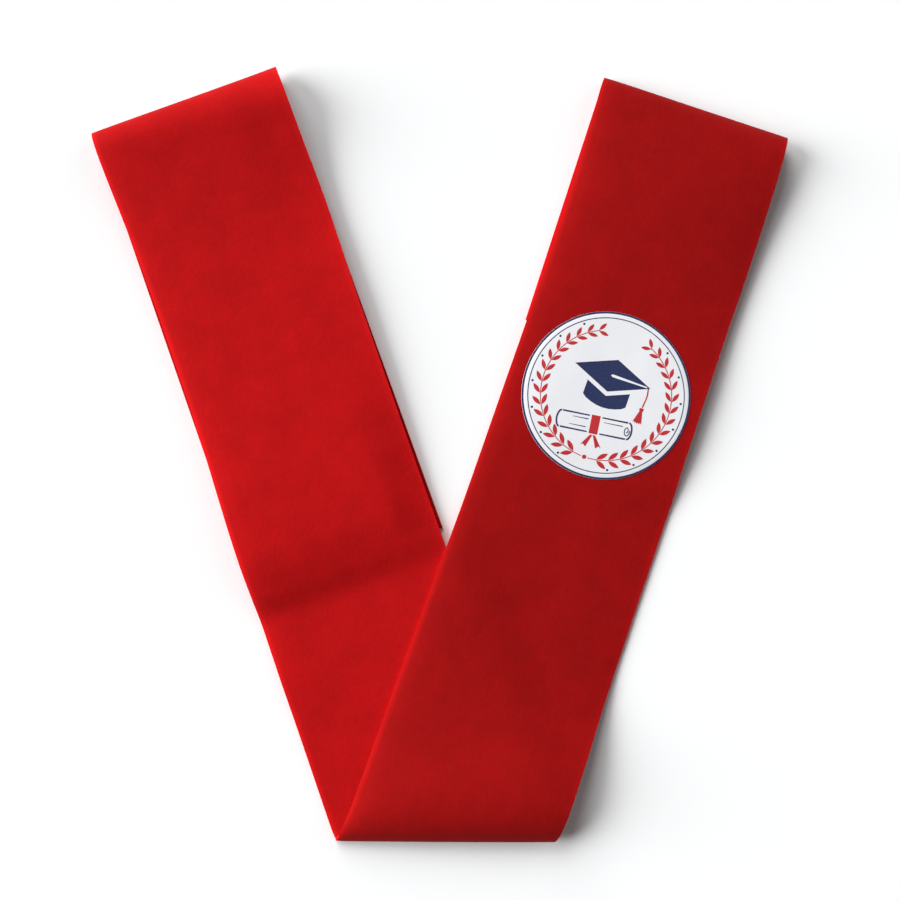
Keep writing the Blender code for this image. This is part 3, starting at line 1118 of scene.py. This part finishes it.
# The laurel: the circle of its stems, which run between two angles from the badge's bottom, the
# angles of its pairs of leaves, how they lean and how long the first and the last are
STEM_RADIUS = 0.775
STEM_WIDTH = 0.010
STEM_ENDS = (3, 156)
STEM_POINTS = 25
LEAF_PAIRS = 15
FIRST_PAIR = 10
PAIR_STEP = 10.3
LEAF_LEAN = math.radians(34)
LEAF_LENGTHS = (0.150, 0.122)
LEAF_GAP = 0.10
LEAF_OUTLINE = ((0.0, 0.0), (0.30, 0.15), (0.60, 0.17), (0.85, 0.09), (1.0, 0.0))
BERRY_REACH = 0.112
BERRY_RADIUS = 0.014
KNOT_RADIUS = 0.026
ROUND_SIDES = 12

# The scroll, before it is turned and set in its place. Each line: its ends, and its width at each.
# Each rounded end: its middle, and the angles that it starts and ends at
SCROLL_TURN = math.radians(8)
SCROLL_CENTRE = (-0.01, -0.375)
SCROLL_LINES = (
    ((-0.400, 0.098), (-0.075, 0.098), (0.020, 0.016)),
    ((0.075, 0.098), (0.385, 0.098), (0.016, 0.020)),
    ((-0.400, -0.098), (-0.075, -0.098), (0.020, 0.016)),
    ((0.075, -0.098), (0.385, -0.098), (0.016, 0.020)),
    ((-0.27, 0.052), (-0.085, 0.052), (0.006, 0.012)),
    ((-0.30, -0.045), (-0.10, -0.045), (0.006, 0.012)),
    ((0.10, 0.045), (0.33, 0.045), (0.006, 0.012)),
)
SCROLL_ENDS = ((-0.412, 90, 270), (0.397, 90, -90))
SCROLL_END_SIZE = (0.045, 0.098)
SCROLL_END_WIDTH = 0.020
SCROLL_END_POINTS = 13
SPIRAL_CENTRE = 0.385
SPIRAL_SIZE = (0.0405, 0.075)
SPIRAL_INNER_SHARE = 0.22
SPIRAL_STEPS = (4, 28)
SPIRAL_TURN = 20
SPIRAL_WIDTH = 0.011
RIBBON = (
    ((-0.052, 0.112), (0.052, 0.112), (0.052, -0.112), (-0.052, -0.112)),
    ((-0.030, -0.125), (-0.002, -0.125), (-0.060, -0.275), (-0.095, -0.245), (-0.125, -0.262)),
    ((0.002, -0.125), (0.030, -0.125), (0.125, -0.262), (0.095, -0.245), (0.060, -0.275)),
)


class STOLE_OT_badge_rings(bpy.types.Operator):
    """Print the badge's dark blue border and the thin ring inside it"""

    bl_idname = "stole.badge_rings"
    bl_label = "Badge Rings"

    def execute(self, context):
        badge = context.scene.stole_badge
        radius = badge.diameter / 2
        inner = radius * (1 - BORDER_WIDTH)
        border = flat_ring("badge_edge_ring", inner, radius * BORDER_OUTER_RADIUS)
        print_piece(border, "navy_ink", badge.navy_colour)
        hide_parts("badge_border")
        inner = THIN_RING_RADIUS * radius
        ring = flat_ring("badge_thin_ring", inner - THIN_RING_WIDTH * radius, inner)
        print_piece(ring, "navy_ink", badge.navy_colour)
        return {"FINISHED"}


class STOLE_OT_badge_laurel(bpy.types.Operator):
    """Print the ring of small red laurel leaves with its berries"""

    bl_idname = "stole.badge_laurel"
    bl_label = "Badge Laurel"

    def execute(self, context):
        badge = context.scene.stole_badge
        radius = badge.diameter / 2
        stem_radius = STEM_RADIUS * radius
        leaves = []
        stems = []
        berries = []
        for side in (-1, 1):
            for i in range(LEAF_PAIRS):
                angle = math.radians(-90 + side * (FIRST_PAIR + i * PAIR_STEP))
                tangent = angle + side * math.pi / 2
                out = Vector((math.cos(angle), math.sin(angle)))
                stem = out * stem_radius
                size = radius * mixed(*LEAF_LENGTHS, i / (LEAF_PAIRS - 1))
                for lean in (-LEAF_LEAN, LEAF_LEAN):
                    leaves.append(self.leaf(stem, tangent + lean, size))
                if i % 2:
                    berries.append(stem + out * radius * BERRY_REACH)
            turns = [mixed(*STEM_ENDS, i / (STEM_POINTS - 1)) for i in range(STEM_POINTS)]
            angles = [math.radians(-90 + side * turn) for turn in turns]
            points = [(math.cos(a) * stem_radius, math.sin(a) * stem_radius) for a in angles]
            widths = [STEM_WIDTH * radius] * STEM_POINTS
            stems.append(filled_shape("stem", [stroke(points, widths)]))
        stems.append(self.knot(radius, stem_radius))
        laurel = join_pieces(leaves + stems, "badge_laurel")
        print_piece(laurel, "red_ink", badge.red_colour)
        dots = []
        for place in berries:
            bpy.ops.mesh.primitive_circle_add(
                vertices=ROUND_SIDES,
                radius=BERRY_RADIUS * radius,
                fill_type="NGON",
                location=(*place, 0),
            )
            bpy.ops.object.transform_apply(location=True)
            dots.append(name_piece("berry"))
        print_piece(join_pieces(dots, "badge_berries"), "navy_ink", badge.navy_colour)
        return {"FINISHED"}

    def knot(self, radius, stem_radius):
        """The small round tie between the two stems at the bottom."""
        angles = [2 * math.pi * i / ROUND_SIDES for i in range(ROUND_SIDES)]
        reach = KNOT_RADIUS * radius
        outline = [(reach * math.cos(a), reach * math.sin(a) - stem_radius) for a in angles]
        return filled_shape("knot", [outline])

    def leaf(self, stem, turn, size):
        """One flat pointed leaf that starts just off the stem."""
        upper = smooth_path(LEAF_OUTLINE, 4)
        lower = [(x, -y) for x, y in upper[-2:0:-1]]
        along = Vector((math.cos(turn), math.sin(turn)))
        side = Vector((-along.y, along.x))
        start = stem + along * size * LEAF_GAP
        outline = [tuple(start + along * size * x + side * size * y) for x, y in upper + lower]
        return filled_shape("leaf", [outline])


class STOLE_OT_badge_cap(bpy.types.Operator):
    """Print the graduation cap with its tassel"""

    bl_idname = "stole.badge_cap"
    bl_label = "Badge Cap"

    def execute(self, context):
        badge = context.scene.stole_badge
        radius = badge.diameter / 2
        board = [scaled_outline(CAP_BOARD, radius), scaled_outline(CAP_CORD_SLOT, radius)]
        crown = scaled_outline(CAP_CROWN, radius)
        pieces = [filled_shape("board", board), filled_shape("crown", [crown])]
        print_piece(join_pieces(pieces, "badge_cap"), "navy_ink", badge.navy_colour)
        cord = stroke(scaled_outline(TASSEL_CORD, radius), [0.016 * radius] * len(TASSEL_CORD))
        fringe = scaled_outline(TASSEL, radius)
        pieces = [filled_shape("cord", [cord]), filled_shape("fringe", [fringe])]
        print_piece(join_pieces(pieces, "badge_tassel"), "red_ink", badge.red_colour)
        return {"FINISHED"}


class STOLE_OT_badge_scroll(bpy.types.Operator):
    """Print the rolled diploma with its ribbon"""

    bl_idname = "stole.badge_scroll"
    bl_label = "Badge Scroll"

    def execute(self, context):
        badge = context.scene.stole_badge
        radius = badge.diameter / 2
        lines = [stroke([start, end], widths) for start, end, widths in SCROLL_LINES]
        lines += self.rounded_ends()
        lines.append(self.spiral())
        self.print_outlines(lines, "badge_scroll", "navy_ink", badge.navy_colour, radius)
        self.print_outlines(RIBBON, "badge_ribbon", "red_ink", badge.red_colour, radius)
        return {"FINISHED"}

    def rounded_ends(self):
        """The drawn lines round the two ends of the roll."""
        width, height = SCROLL_END_SIZE
        ends = []
        for middle, first, last in SCROLL_ENDS:
            arc = []
            for i in range(SCROLL_END_POINTS):
                angle = math.radians(mixed(first, last, i / (SCROLL_END_POINTS - 1)))
                arc.append((middle + width * math.cos(angle), height * math.sin(angle)))
            ends.append(stroke(arc, [SCROLL_END_WIDTH] * SCROLL_END_POINTS))
        return ends

    def spiral(self):
        """The drawn line of the rolled sheet inside the right end."""
        width, height = SPIRAL_SIZE
        first, last = SPIRAL_STEPS
        points = []
        for i in range(first, last + 1):
            angle = math.radians(90 - i * SPIRAL_TURN)
            reach = mixed(1.0, SPIRAL_INNER_SHARE, i / last)
            x = SPIRAL_CENTRE + width * reach * math.cos(angle)
            points.append((x, height * reach * math.sin(angle)))
        return stroke(points, [SPIRAL_WIDTH] * len(points))

    def print_outlines(self, outlines, name, ink_name, colour, radius):
        """Prints outlines of the scroll as one piece, turned and moved to their place."""
        cosine, sine = math.cos(SCROLL_TURN), math.sin(SCROLL_TURN)
        centre = Vector(SCROLL_CENTRE) * radius
        pieces = []
        for outline in outlines:
            placed = [
                (centre.x + x * cosine - y * sine, centre.y + x * sine + y * cosine)
                for x, y in scaled_outline(outline, radius)
            ]
            pieces.append(filled_shape("outline", [placed]))
        print_piece(join_pieces(pieces, name), ink_name, colour)


FLOOR_SIZE = 8
FLOOR_DROP = 0.00003
SENSOR_WIDTH = 36

# Each soft light: its turn about the vertical from the camera's right, its height above the floor
# and how wide it is, all as angles
SoftLight = namedtuple("SoftLight", "name bearing height spread")
SOFT_LIGHTS = (
    SoftLight("window_light", math.radians(115), math.radians(31), math.radians(45)),
    SoftLight("side_light", math.radians(175), math.radians(25), math.radians(45)),
    SoftLight("wall_light", math.radians(25), math.radians(18), math.radians(60)),
)


class STOLE_OT_studio(bpy.types.Operator):
    """Make the plain floor, the soft lights and the camera"""

    bl_idname = "stole.studio"
    bl_label = "Studio"

    def execute(self, context):
        studio = context.scene.stole_studio
        self.make_floor(studio)
        self.make_sky(context.scene, studio)
        self.make_lights(context.scene, studio)
        self.make_camera(context.scene, studio)
        context.scene.view_settings.view_transform = "Standard"
        return {"FINISHED"}

    def make_floor(self, studio):
        deselect_all()
        bpy.ops.mesh.primitive_plane_add(size=FLOOR_SIZE, location=(0, 0, 0))
        floor = name_piece("floor")
        floor.data.transform(Matrix.Translation((0, 0, -FLOOR_DROP)))
        maker = NodeMaker("pale_floor", tuple(studio.floor_colour))
        set_inputs(maker.shader, {"Base Color": (*studio.floor_colour, 1)})
        set_inputs(maker.shader, {"Roughness": 0.8, "Specular IOR Level": 0.1})
        floor.data.materials.append(maker.material)

    def make_sky(self, scene, studio):
        sky = bpy.data.worlds.new("soft_room")
        sky.use_nodes = True
        nodes = sky.node_tree.nodes
        links = sky.node_tree.links
        fill = nodes["Background"]
        set_inputs(fill, {"Color": (*WHITE, 1), "Strength": studio.sky_strength})
        backdrop = nodes.new("ShaderNodeBackground")
        set_inputs(backdrop, {"Color": (*studio.backdrop_colour, 1)})
        rays = nodes.new("ShaderNodeLightPath")
        seen = nodes.new("ShaderNodeMixShader")
        links.new(rays.outputs["Is Camera Ray"], seen.inputs["Fac"])
        links.new(fill.outputs["Background"], seen.inputs[1])
        links.new(backdrop.outputs["Background"], seen.inputs[2])
        links.new(seen.outputs["Shader"], nodes["World Output"].inputs["Surface"])
        scene.world = sky

    def make_lights(self, scene, studio):
        strengths = (studio.window_strength, studio.side_strength, studio.wall_strength)
        for soft_light, strength in zip(SOFT_LIGHTS, strengths):
            level = math.cos(soft_light.height)
            direction = Vector(
                (
                    level * math.cos(soft_light.bearing),
                    level * math.sin(soft_light.bearing),
                    math.sin(soft_light.height),
                )
            )
            light = bpy.data.lights.new(soft_light.name, "SUN")
            light.energy = strength
            light.angle = soft_light.spread
            lamp = bpy.data.objects.new(soft_light.name, light)
            lamp.rotation_euler = direction.to_track_quat("Z", "Y").to_euler()
            scene.collection.objects.link(lamp)

    def make_camera(self, scene, studio):
        data = bpy.data.cameras.new("photo_camera")
        data.sensor_width = SENSOR_WIDTH
        data.lens = studio.lens
        data.clip_start = 0.01
        camera = bpy.data.objects.new("photo_camera", data)
        back = Vector((0, -math.sin(studio.camera_tilt), math.cos(studio.camera_tilt)))
        target = Vector((studio.target_x, studio.target_y, 0))
        camera.location = target + back * studio.camera_distance
        camera.rotation_euler = (studio.camera_tilt, 0, 0)
        scene.collection.objects.link(camera)
        scene.camera = camera


class STOLE_PT_panel(bpy.types.Panel):
    """The stole's pieces and their sizes"""

    bl_idname = "STOLE_PT_panel"
    bl_label = "Graduation Stole"
    bl_space_type = "VIEW_3D"
    bl_region_type = "UI"
    bl_category = "Stole"

    def draw(self, context):
        scene = context.scene
        for title, settings in (
            ("Felt", scene.stole_felt),
            ("Badge", scene.stole_badge),
            ("Studio", scene.stole_studio),
        ):
            box = self.layout.box()
            box.label(text=title)
            for name in type(settings).__annotations__:
                box.prop(settings, name)
        for operator in OPERATORS:
            self.layout.operator(operator.bl_idname)


SETTINGS = (
    (FeltSettings, "stole_felt"),
    (BadgeSettings, "stole_badge"),
    (StudioSettings, "stole_studio"),
)
OPERATORS = (
    STOLE_OT_felt_strip,
    STOLE_OT_badge_transfer,
    STOLE_OT_badge_rings,
    STOLE_OT_badge_laurel,
    STOLE_OT_badge_cap,
    STOLE_OT_badge_scroll,
    STOLE_OT_studio,
)


def register():
    for settings, name in SETTINGS:
        bpy.utils.register_class(settings)
        setattr(bpy.types.Scene, name, PointerProperty(type=settings))
    for operator in OPERATORS:
        bpy.utils.register_class(operator)
    bpy.utils.register_class(STOLE_PT_panel)


def unregister():
    bpy.utils.unregister_class(STOLE_PT_panel)
    for operator in reversed(OPERATORS):
        bpy.utils.unregister_class(operator)
    for settings, name in reversed(SETTINGS):
        delattr(bpy.types.Scene, name)
        bpy.utils.unregister_class(settings)


def main():
    register()
    deselect_all()
    bpy.ops.stole.felt_strip()
    bpy.ops.stole.badge_transfer()
    bpy.ops.stole.badge_rings()
    bpy.ops.stole.badge_laurel()
    bpy.ops.stole.badge_cap()
    bpy.ops.stole.badge_scroll()
    bpy.ops.stole.studio()


if __name__ == "__main__":
    main()
